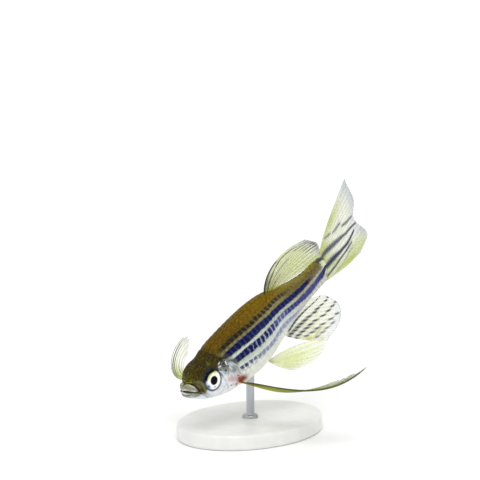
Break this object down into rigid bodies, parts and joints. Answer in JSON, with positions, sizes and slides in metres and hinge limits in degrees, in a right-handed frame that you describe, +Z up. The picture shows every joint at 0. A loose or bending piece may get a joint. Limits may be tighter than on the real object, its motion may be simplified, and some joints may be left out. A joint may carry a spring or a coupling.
{
  "type": "zebra danio fish model on a display stand",
  "caption": "Slender striped long-finned fish swimming nose down, held over an oval base by a slim rod.",
  "frame": {"origin": "middle of the underside of the stand's oval base", "axes": "+Z up, +X from the fish's head towards its tail, +Y to the fish's right side"},
  "size_m": [0.0425, 0.0317, 0.0352],
  "materials": {
    "flesh": "satin",
    "cover": "satin",
    "eye": "gloss",
    "fin": "satin",
    "barbel": "satin",
    "base": "satin",
    "rod": "satin"
  },
  "bodies": {
    "root": {"head": "flesh", "lower_jaw": "flesh", "operculum_left": "cover", "operculum_right": "cover", "trunk": "flesh", "tail_peduncle": "flesh", "eye_left": "eye", "eye_right": "eye", "dorsal_fin": "fin", "anal_fin": "fin", "tail_fin": "fin", "pectoral_fin_left": "fin", "pectoral_fin_right": "fin", "pelvic_fin_left": "fin", "pelvic_fin_right": "fin", "barbel_rostral_left": "barbel", "barbel_rostral_right": "barbel", "barbel_maxillary_left": "barbel", "barbel_maxillary_right": "barbel", "stand_base": "base", "stand_rod": "rod"}
  },
  "joints": []
}
